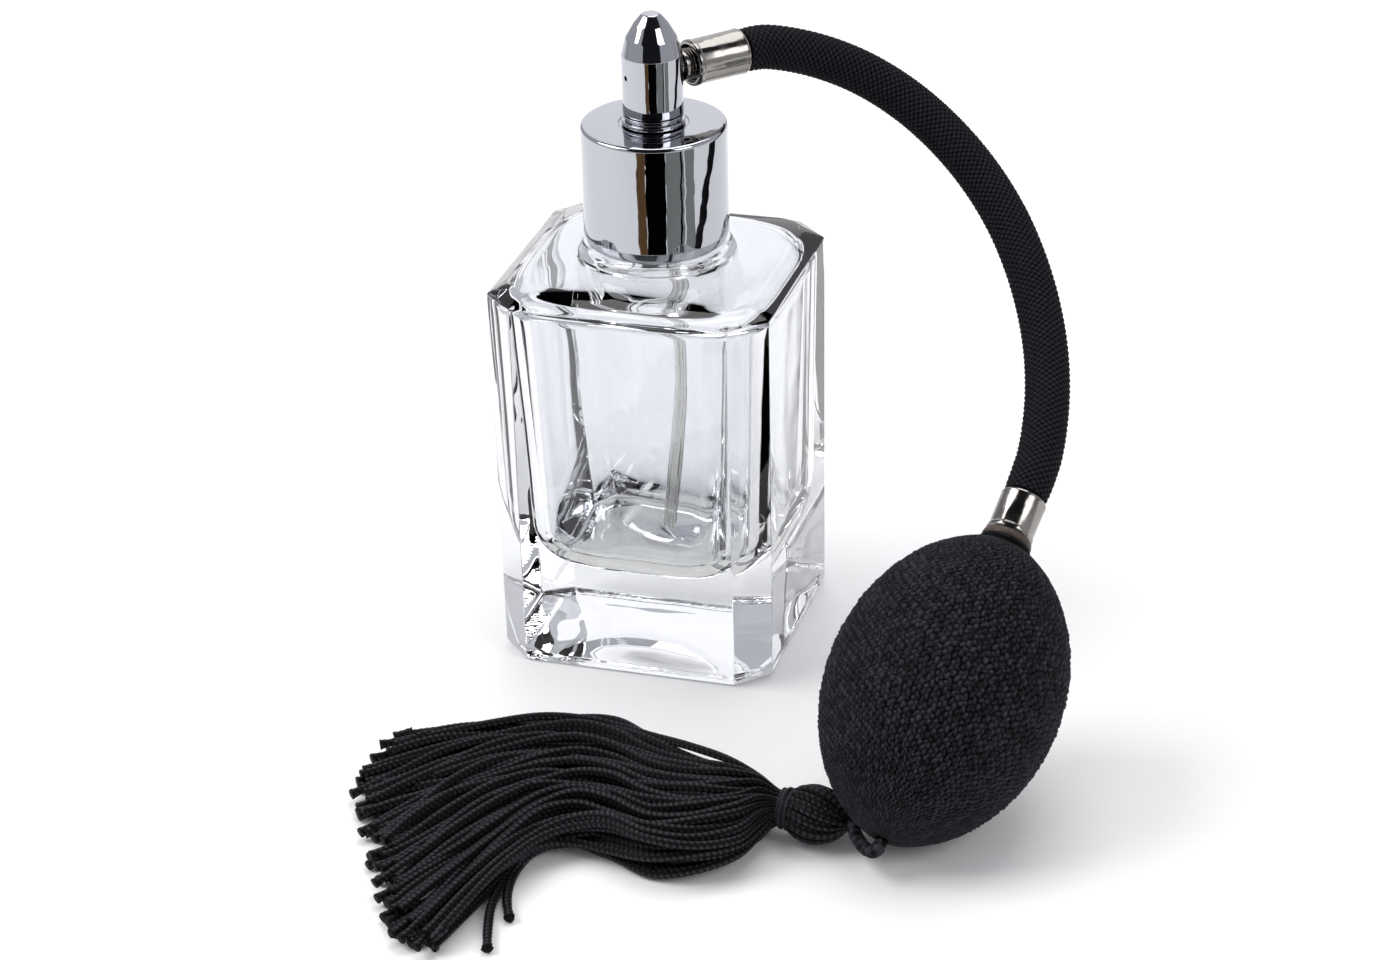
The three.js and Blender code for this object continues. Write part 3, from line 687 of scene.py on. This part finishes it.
def bulbRings(s, along, radii):
    sides = radii.shape[1]
    angles = np.arange(sides) / sides * 2 * math.pi
    centre, axis, upper, side = (np.array(v) for v in (bulbCentre, bulbAxis, bulbUpper, bulbSide))
    spokes = upper * np.cos(angles)[:, None] + side * np.sin(angles)[:, None]
    return centre + axis * along[:, None, None] + spokes[None] * radii[..., None]


def knitReliefAndHighlight(s, turn, row):
    # two rounded legs lean together in each stitch, the right one half a row on; no two bumps are quite alike
    column = turn * s["stitchesRound"] + s["twist"] * row / s["rows"]
    column = column + 0.2 * np.sin(turn * 2 * math.pi * 5 + row * 0.45) + 0.12 * np.sin(row * 1.7 + turn * 40)
    height, light = np.zeros(turn.shape), np.zeros(turn.shape)
    for middle, sway, shift in ((0.27, 1, 0), (0.73, -1, 0.5)):
        place = (row + shift + 0.22 * np.sin(turn * 2 * math.pi * 7 + row * 0.3)
                 + 0.15 * np.sin(turn * 97 + row * 2.3))
        u, v = column - np.floor(column), place - np.floor(place)
        across = np.clip(1 - ((u - middle - sway * 0.2 * (v - 0.5)) / 0.27) ** 2, 0, 1)
        bump = np.clip(np.sin(math.pi * v), 0, 1)
        chance = np.modf(np.abs(np.sin(np.floor(column) * 12.99 + np.floor(place) * 78.23
                                       + shift)) * 437.58)[0]
        height = np.maximum(height, np.sqrt(across) * bump ** 0.5 * (0.75 + 0.35 * chance))
        # light is a painted highlight on the top of each bump, brighter on some at random
        light = np.maximum(light, across * bump * (0.45 + 0.75 * chance))
    return height, light


def knitCover(s):
    count = s["stitchesRound"] * s["samplesRound"]
    # even steps over the bulb's own length of surface, not along its axis
    fine = np.linspace(s["tailEnd"], s["hoseEnd"], 2000)
    radius = bulbRadius(s, fine, 0)
    run = np.concatenate([[0], np.cumsum(np.hypot(np.diff(fine), np.diff(radius)))])
    along = np.interp(np.linspace(0, run[-1], s["rings"]), run, fine)
    turn, row = np.meshgrid(np.arange(count) / count, np.linspace(0, s["rows"], s["rings"]), indexing="xy")
    reliefAndPaintedShade, light = knitReliefAndHighlight(s, turn, row)
    nearEnd = np.clip(bulbRadius(s, along, 0) / (12 * mm), 0.2, 1)[:, None]
    body = bulbRadius(s, along, 0.55 * mm)
    body = np.where(along > 0, np.maximum(body, s["mouth"]), body)
    radii = body[:, None] + reliefAndPaintedShade * s["stitchHeight"] * nearEnd
    outer = bulbRings(s, along, radii)
    back = np.linspace(s["hoseEnd"], s["tailEnd"], 14)
    lining = bulbRadius(s, back, s["cover"])
    lining = np.where(back > 0, np.maximum(lining, s["mouth"] - 0.3 * mm), lining)
    inner = bulbRings(s, back, np.repeat(lining[:, None], count, axis=1))
    # painted highlight on the stitch tops; the lining inside gets the darkest painted shade
    shade = np.concatenate([light, np.zeros((len(back), count))])
    piece = ringMesh("bulb_knitted_cover", [np.concatenate([outer, inner])], reliefAndPaintedShade=shade, joinEnds=True)
    finishPiece(piece, "bulb", "knit_yarn", elasticKnit, "knit_cover", "cover_thumb_patch")
    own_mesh(piece)
    return piece


def rubberBulb(s):
    along = np.concatenate([np.linspace(-24.3, 24.6, 60), np.linspace(24.6, -24.3, 60)]) * mm
    inset = np.concatenate([np.full(60, s["cover"] + 0.15 * mm), np.full(60, s["cover"] + s["rubber"])])
    radii = np.repeat(bulbRadius(s, along, inset)[:, None], 64, axis=1)
    piece = ringMesh("bulb_rubber", [bulbRings(s, along, np.clip(radii, 1.2 * mm, 1))], joinEnds=True)
    finishPiece(piece, "bulb", "black_rubber", mouldedRubber, "rubber_bulb", "bulb_thumb_wall")
    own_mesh(piece)


def plainMaterial(name, colour, settings, mottle, bumpDepth, scale):
    # one base colour with a faint mottle and a fine surface of its own
    material, tree, shader = newMaterial(name, settings)
    place = addNode(tree, "ShaderNodeTexCoord")
    grain = addNode(tree, "ShaderNodeTexNoise", {"Scale": 1 / scale, "Detail": 4.0},
                    {"Vector": place.outputs["Object"]})
    tone = addNode(tree, "ShaderNodeMix", {6: hexColour(colour), 7: hexColour(mottle)},
                   {0: grain.outputs["Fac"]}, data_type="RGBA")
    bump = addNode(tree, "ShaderNodeBump", {"Strength": 0.6, "Distance": bumpDepth},
                   {"Height": grain.outputs["Fac"]})
    tree.links.new(tone.outputs[2], shader.inputs["Base Color"])
    tree.links.new(bump.outputs["Normal"], shader.inputs["Normal"])
    return material


# Moulded rubber: black, dull, with the bloom that rubber gets
mouldedRubber = plainMaterial("moulded_black_rubber", "#131314", {"Roughness": 0.6}, "#1f1f20",
                              0.03 * mm, 0.6 * mm)
# Brown gum rubber: a warm matt ring between the ferrule and the bulb
gumRubber = plainMaterial("brown_gum_rubber", "#4c3a31", {"Roughness": 0.55}, "#33261f", 0.03 * mm, 0.8 * mm)
# Polypropylene: milky white with a soft moulded sheen
polypropylene = plainMaterial("white_polypropylene", "#e4e4e2", {"Roughness": 0.42, "Subsurface Weight": 0.1},
                              "#d4d4d2", 0.02 * mm, 1.5 * mm)
# Polyethylene tube: hazy and see-through, so it shows only as a pale line in the glass
polyethylene = plainMaterial("clear_polyethylene", "#f6f6f3", {"Roughness": 0.12, "IOR": 1.45,
                             "Transmission Weight": 0.92}, "#eeeeea", 0.02 * mm, 2 * mm)
# Turned brass: yellow metal with fine tool marks
turnedBrass = polishedMetal("turned_brass", "#c9a25a", 0.22, 0.02 * mm, 0.6 * mm)
# Brass painted near black as shade, so that the jet reads as a dark hole
brassPaintedAsHoleShade = polishedMetal("brass_painted_as_hole_shade", "#17130f", 0.5, 0.02 * mm, 0.6 * mm)
# Ball-bearing steel: hard bright mirror
bearingSteel = polishedMetal("bearing_steel", "#c8cacc", 0.08, 0.005 * mm, 1 * mm)

knitCover(bulb)
rubberBulb(bulb)

carriedOver = {
    "neck_gasket": gumRubber,
    "head_plug": polypropylene,
    "dip_tube_socket": polypropylene,
    "dip_tube": polyethylene,
    "stem_tube": turnedBrass,
    "threaded_insert": polypropylene,
    # the jet's near-black brass is painted shade for the hole
    "spray_jet": brassPaintedAsHoleShade,
    "bulb_connector": mouldedRubber,
    "bulb_lip_ring": gumRubber,
    "intake_valve_body": turnedBrass,
    "intake_valve_ball": bearingSteel,
}
for nodeName, material in carriedOver.items():
    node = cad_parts[nodeName]
    node.data.materials.clear()
    node.data.materials.append(material)

# Tassel
tassel = {
    "strands": 98,
    "strandRadius": 0.72 * mm,
    "tightRadius": 0.3 * mm,     # a strand squeezed in the binding
    "restHeight": 1.03 * mm,     # a strand's middle is never lower, so its frayed end stays off the table
    "step": 0.3 * mm,
    "sides": 8,                  # four columns of stitches, a high and a low point in each
    "stitch": 0.95 * mm,
    "binding": (0.0376, -0.0618, 0.0047),
    "headEnd": (0.0463, -0.0628, 0.0046),
    "bendEnd": (0.0290, -0.0640, 0.0050),
    "bindingRadius": 2.75 * mm,
    "headRadius": 4.5 * mm,
    # middle of the bundle, half its width, half its height, and its heading in degrees
    "stations": [
        (37.4, -61.85, 4.7, 2.3, 2.3, 184),
        (35.6, -61.9, 4.7, 2.9, 2.8, 184),
        (33.2, -63.0, 4.9, 6.0, 4.2, 194),
        (30.0, -65.0, 5.1, 9.8, 4.6, 198),
        (23.6, -65.9, 4.9, 13.2, 4.4, 197),
        (16.7, -64.4, 4.4, 15.2, 3.8, 196),
        (9.9, -61.4, 4.0, 15.0, 3.4, 195),
        (4.1, -60.6, 3.7, 15.4, 3.1, 197),
        (-1.2, -62.2, 3.4, 17.0, 2.8, 199),
        (-6.7, -66.6, 3.0, 20.8, 2.3, 202),
        (-11.9, -73.3, 2.5, 25.6, 1.8, 204),
        (-16.0, -79.4, 2.0, 28.6, 1.3, 206),
        (-19.5, -84.5, 1.6, 30.6, 0.9, 208),
    ],
    # two strands that stray from the lower edge
    "strays": [
        [(0.0141, -0.0722, 0.0040), (0.0060, -0.0755, 0.0030), (0.0023, -0.0785, 0.0022),
         (0.0008, -0.0857, 0.0012), (0.0009, -0.0919, 0.0008), (0.0024, -0.0981, 0.0008),
         (0.0040, -0.1030, 0.0008)],
        [(0.0155, -0.0710, 0.0040), (0.0077, -0.0733, 0.0030), (0.0042, -0.0758, 0.0022),
         (0.0019, -0.0798, 0.0012), (0.0016, -0.0849, 0.0008), (0.0026, -0.0901, 0.0008),
         (0.0045, -0.0947, 0.0008)],
    ],
}


def discPoints(count):
    # sunflower places fill a round section evenly
    k = np.arange(count) + 0.5
    radius = np.sqrt(k / count)
    angle = k * math.pi * (3 - math.sqrt(5))
    return np.stack([radius * np.cos(angle), radius * np.sin(angle)], axis=1)


def strandPath(s, a, b, sway, reach):
    # round the binding the strands fill a disc; in the fan they spread evenly over its width
    flatA = 2 * (a * math.sqrt(1 - a * a) + math.asin(a)) / math.pi
    flatB = b / math.sqrt(1 - a * a)
    points = []
    for k, (x, y, z, halfWidth, halfHeight, heading) in enumerate(s["stations"]):
        turn = math.radians(heading)
        side = np.array([math.sin(turn), -math.cos(turn), 0])
        fade = min(1, max(0, (k - 1) / 5))
        across = a + (flatA - a) * fade + 0.055 * sway[0] * math.sin(k * 0.85 + sway[1]) * fade
        height = b + (flatB - b) * fade + 0.25 * math.sin(k * 1.3 + sway[2]) * fade
        p = np.array([x, y, z]) + side * halfWidth * across + np.array([0, 0, halfHeight * height])
        points.append(p * mm)
    points = points[:-1] + [points[-2] + (points[-1] - points[-2]) * reach]
    path, along = smoothRoute(points, s["step"])
    path[:, 2] = np.maximum(path[:, 2], s["restHeight"])
    return path, along


def strandRings(s, path, along, phase, tight=True):
    # the strand fills out as it leaves the binding; its stitches swell it, and its cut end frays a little;
    # the stitch values also paint a highlight on each stitch and shade between them
    grow = np.clip(along / (15 * mm), 0, 1) if tight else np.ones(len(along))
    grow = grow * grow * (3 - 2 * grow)
    radius = s["tightRadius"] + (s["strandRadius"] - s["tightRadius"]) * grow
    toEnd = along[-1] - along
    radius = radius * (1 + 0.28 * np.exp(-toEnd / (0.7 * mm)) - 0.12 * np.exp(-((toEnd - 2 * mm) / mm) ** 2))
    column = np.arange(s["sides"]) // 2 % 2 * math.pi
    onColumn = 1 - np.arange(s["sides"]) % 2
    stitches = (0.5 + 0.5 * np.cos(along[:, None] / s["stitch"] * 2 * math.pi
                                   + column[None] + phase)) * onColumn[None]
    return tubeRings(path, radius[:, None] * (0.9 + 0.2 * stitches), s["sides"]), stitches


def tasselSkirt(s):
    places = discPoints(s["strands"])
    groups = [[], [], []]
    for k, (a, b) in enumerate(places):
        sway = (rng.normal(), rng.uniform(0, 6.28), rng.uniform(0, 6.28))
        flare = max(0, abs(a) - 0.55) / 0.45
        reach = 1.0 - 1.2 * flare + rng.uniform(-0.55, 0.35)
        path, along = strandPath(s, a, b, sway, reach)
        groups[k % 3].append(strandRings(s, path, along, rng.uniform(0, 6.28)))
    for stray in s["strays"]:
        path, along = smoothRoute(stray, s["step"])
        path[:, 2] = np.maximum(path[:, 2], s["restHeight"])
        groups[0].append(strandRings(s, path, along, 0, tight=False))
    for k, built in enumerate(groups):
        reliefAndPaintedShade = np.concatenate([shade.ravel() for rings, shade in built])
        piece = ringMesh(f"tassel_strands_{k + 1}", [rings for rings, shade in built], reliefAndPaintedShade=reliefAndPaintedShade)
        finishPiece(piece, None, "tassel_yarn", rayonChainette, *([] if k else ["tassel_skirt"]))
        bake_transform(piece)


def tasselHead(s):
    # strands run from the binding over the gathered ball to where the cord comes out
    start, end = Vector(s["binding"]), Vector(s["headEnd"])
    axis = (end - start).normalized()
    first = axis.orthogonal().normalized()
    second = axis.cross(first)
    length = (end - start).length
    tubes, shades = [], []
    for k in range(20):
        turn = 2 * math.pi * k / 20
        points = []
        for j in range(9):
            t = j / 8
            r = (1.9 - 0.9 * t) * mm + (s["headRadius"] - 2.1 * mm) * math.sin(math.pi * t) ** 0.55
            a = turn + 0.5 * t + 0.1 * math.sin(k * 2.1)
            out = first * math.cos(a) + second * math.sin(a)
            points.append(tuple(start + axis * (0.4 * mm + (length - 0.2 * mm) * t) + out * r))
        path, along = smoothRoute(points, s["step"])
        rings, shade = strandRings(dict(s, tightRadius=0.5 * mm), path, along, k, tight=False)
        tubes.append(rings)
        shades.append(shade.ravel())
    core = [tuple(start + axis * length * t) for t in (0, 0.15, 0.35, 0.5, 0.65, 0.85, 1)]
    path, along = smoothRoute(core, 0.5 * mm)
    bulge = 1.3 * mm + (s["headRadius"] - 1.8 * mm) * np.sin(math.pi * along / along[-1]) ** 0.6
    tubes.append(tubeRings(path, bulge, 24))
    # the core under the strands gets no highlight, only the painted shade of the hollows
    shades.append(np.zeros(len(path) * 24))
    piece = ringMesh("tassel_gathered_head", tubes, reliefAndPaintedShade=np.concatenate(shades))
    finishPiece(piece, "tassel_loop", "tassel_yarn", rayonChainette, "tassel_head")


def tasselBinding(s):
    # thread wound round the neck of the tassel, eight turns and a few that cross them
    centre = Vector(s["binding"])
    axis = (Vector(s["headEnd"]) - centre).normalized()
    first = axis.orthogonal().normalized()
    second = axis.cross(first)
    tubes = []
    for turns, slope, lift in ((5, 0.45, 0), (1.6, -0.9, 0.3)):
        points = []
        for j in range(int(turns * 18) + 1):
            a = 2 * math.pi * j / 18
            along = (j / (turns * 18) - 0.5) * turns * slope * mm
            r = s["bindingRadius"] + lift * mm + 0.06 * mm * math.sin(j * 1.3)
            points.append(tuple(centre + axis * along + (first * math.cos(a) + second * math.sin(a)) * r))
        path, along = smoothRoute(points, 0.35 * mm)
        tubes.append(tubeRings(path, 0.28 * mm, 8))
    core = [tuple(centre - axis * 1.2 * mm), tuple(centre), tuple(centre + axis * 1.2 * mm)]
    path, along = smoothRoute(core, 0.5 * mm)
    tubes.append(tubeRings(path, s["bindingRadius"] - 0.1 * mm, 32))
    count = sum(t.shape[0] * t.shape[1] for t in tubes)
    piece = ringMesh("tassel_binding_thread", tubes, reliefAndPaintedShade=np.full(count, 0.5))
    finishPiece(piece, "tassel_loop", "tassel_yarn", rayonChainette, "tassel_binding")


def tasselCord(s):
    # three plies twisted into the short cord between the bulb and the head
    route = [(53.62, -69.47, 6.14), (53.37, -70.60, 5.36), (51.4, -69.0, 4.2), (49.0, -65.6, 4.0),
             (48.0, -63.7, 4.3), (46.6, -62.9, 4.6)]
    path, along = smoothRoute([tuple(Vector(p) * mm) for p in route], 0.15 * mm)
    first, second = frameAlong(path)
    tubes, shades = [], []
    for k in range(3):
        a = along / (2.6 * mm) * 2 * math.pi + k * 2 * math.pi / 3
        ply = path + (first * np.cos(a)[:, None] + second * np.sin(a)[:, None]) * 0.5 * mm
        tubes.append(tubeRings(ply, 0.55 * mm, 10))
        shades.append(np.repeat(0.35 + 0.3 * np.sin(along / (0.5 * mm) * math.pi + k), 10))
    piece = ringMesh("tassel_twisted_cord", tubes, reliefAndPaintedShade=np.concatenate(shades))
    finishPiece(piece, None, "tassel_yarn", rayonChainette, "tassel_cord")
    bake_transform(piece)


tasselSkirt(tassel)
tasselHead(tassel)
tasselBinding(tassel)
tasselCord(tassel)
print("tassel made")

# Stage: pale floor, soft studio light, and cards that only mirrors see
stageSet = {
    "floorSize": 6.0,
    "floorColour": "#f7f7f6",
    "gatheredSize": 41 * mm,
    "gatheredColour": "#f4f5f2",
    "gatheredStrength": 0.85,
    "worldTop": "#a9aab0",
    "worldLow": "#d2d3d9",
    "worldStrength": 0.85,
    # start and end in degrees round from the camera's heading, distance, height, colour
    "cards": [
        (-26.5, -14, 0.140, 0.07, "#6f5439"),
        (-14, 15.4, 0.142, 0.07, "#050505"),
        (15.4, 61, 0.140, 0.06, "#8d918c"),
        (38, 41, 0.137, 0.06, "#0a0a0a"),
        (44, 46, 0.137, 0.06, "#ffffff"),
    ],
    # dark parts of the room, far off: degrees round from the camera, degrees up, half angle, colour
    "darkRoom": [
        (0, 34, 38, "#2a2b2e"),
        (0, 90, 42, "#34353a"),
    ],
    "roomRadius": 2.0,
    # name, place, aim, size, watts
    "lights": [
        ("key_softbox", (-0.65, -0.25, 0.75), (0, -0.02, 0.04), 0.6, 6.0),
        ("fill_softbox", (0.75, -0.35, 0.6), (0.02, -0.02, 0.04), 0.45, 2.2),
        ("top_softbox", (0.05, 0.35, 0.95), (0.02, -0.03, 0.03), 0.7, 4.3),
        ("back_softbox", (-0.36, 1.19, 0.66), (0, 0, 0.08), 1.0, 2.0),
    ],
}


def addCard(mesh, colour):
    # seen only in the mirror of the metal, never through the glass
    card = bpy.data.objects.new(mesh.name, mesh)
    bpy.context.collection.objects.link(card)
    cloth, tree, shader = newMaterial(mesh.name, {"Base Color": hexColour(colour), "Roughness": 1.0,
                                                  "Specular IOR Level": 0.0})
    mesh.materials.append(cloth)
    card.visible_camera = False
    card.visible_diffuse = False
    card.visible_shadow = False
    card.visible_transmission = False


def addStage(s):
    bpy.ops.mesh.primitive_plane_add(size=s["floorSize"], location=(0, 0, -0.05 * mm))
    floor = bpy.context.object
    floor.name = "stage_floor"
    bpy.ops.object.transform_apply(location=True)
    paper, tree, shader = newMaterial("matt_paper", {"Base Color": hexColour(s["floorColour"]),
                                                     "Roughness": 0.9, "Specular IOR Level": 0.2})
    floor.data.materials.append(paper)
    # the glass gathers light on the table under itself; only the glass shows it
    bpy.ops.mesh.primitive_plane_add(size=s["gatheredSize"], location=(0, 0, -0.03 * mm))
    patch = bpy.context.object
    patch.name = "stage_gathered_light"
    bpy.ops.object.transform_apply(location=True)
    glow, tree, shader = newMaterial("gathered_light", {"Base Color": hexColour("#000000"),
                                                        "Specular IOR Level": 0.0,
                                                        "Emission Color": hexColour(s["gatheredColour"]),
                                                        "Emission Strength": s["gatheredStrength"]})
    patch.data.materials.append(glow)
    patch.visible_camera = False
    patch.visible_diffuse = False
    patch.visible_glossy = False
    patch.visible_shadow = False
    for k, (start, end, distance, height, colour) in enumerate(s["cards"]):
        # the edges wander a little, like the hem of a cloth
        points, steps, levels = [], 12, 24
        for j in range(steps + 1):
            for i in range(levels):
                hem = 0.7 * math.sin(i * 0.9 + k * 2) + 0.45 * math.sin(i * 2.3 + k * 5)
                turn = math.radians(cameraSet["azimuth"] + start + (end - start) * j / steps + hem)
                points.append((math.sin(turn) * distance, -math.cos(turn) * distance,
                               height * i / (levels - 1)))
        faces = [(j * levels + i, (j + 1) * levels + i, (j + 1) * levels + i + 1, j * levels + i + 1)
                 for j in range(steps) for i in range(levels - 1)]
        mesh = bpy.data.meshes.new(f"stage_card_{k}")
        mesh.from_pydata(points, [], faces)
        addCard(mesh, colour)
    for k, (around, up, half, colour) in enumerate(s["darkRoom"]):
        turn, lift = math.radians(cameraSet["azimuth"] + around), math.radians(up)
        toward = Vector((math.sin(turn) * math.cos(lift), -math.cos(turn) * math.cos(lift), math.sin(lift)))
        lean = toward.to_track_quat("Z", "Y")
        points, rings, sides = [], 8, 32
        for j in range(rings + 1):
            spread = math.radians(half) * (j + 0.01) / rings
            for i in range(sides):
                a = 2 * math.pi * i / sides
                spoke = Vector((math.sin(spread) * math.cos(a), math.sin(spread) * math.sin(a),
                                math.cos(spread)))
                points.append(tuple(lean @ spoke * s["roomRadius"]))
        faces = [(j * sides + i, j * sides + (i + 1) % sides,
                  (j + 1) * sides + (i + 1) % sides, (j + 1) * sides + i)
                 for j in range(rings) for i in range(sides)]
        mesh = bpy.data.meshes.new(f"stage_dark_{k}")
        mesh.from_pydata(points, [], faces)
        addCard(mesh, colour)
    for name, place, aim, size, watts in s["lights"]:
        data = bpy.data.lights.new(name, "AREA")
        data.size = size
        data.energy = watts
        light = bpy.data.objects.new(name, data)
        light.location = place
        light.rotation_euler = (Vector(aim) - Vector(place)).to_track_quat("-Z", "Y").to_euler()
        bpy.context.collection.objects.link(light)
    world = bpy.data.worlds.new("studio")
    world.use_nodes = True
    bpy.context.scene.world = world
    tree = world.node_tree
    background = tree.nodes["Background"]
    place = addNode(tree, "ShaderNodeTexCoord")
    height = addNode(tree, "ShaderNodeSeparateXYZ", None, {0: place.outputs["Generated"]})
    share = addNode(tree, "ShaderNodeMapRange", {"From Min": 0.55, "From Max": 0.9},
                    {"Value": height.outputs["Z"]})
    tone = addNode(tree, "ShaderNodeMix", {6: hexColour(s["worldLow"]), 7: hexColour(s["worldTop"])},
                   {0: share.outputs["Result"]}, data_type="RGBA")
    tree.links.new(tone.outputs[2], background.inputs["Color"])
    background.inputs["Strength"].default_value = s["worldStrength"]


addStage(stageSet)
bpy.context.scene.view_settings.view_transform = "Standard"
print("stage set")

nothingSelected()
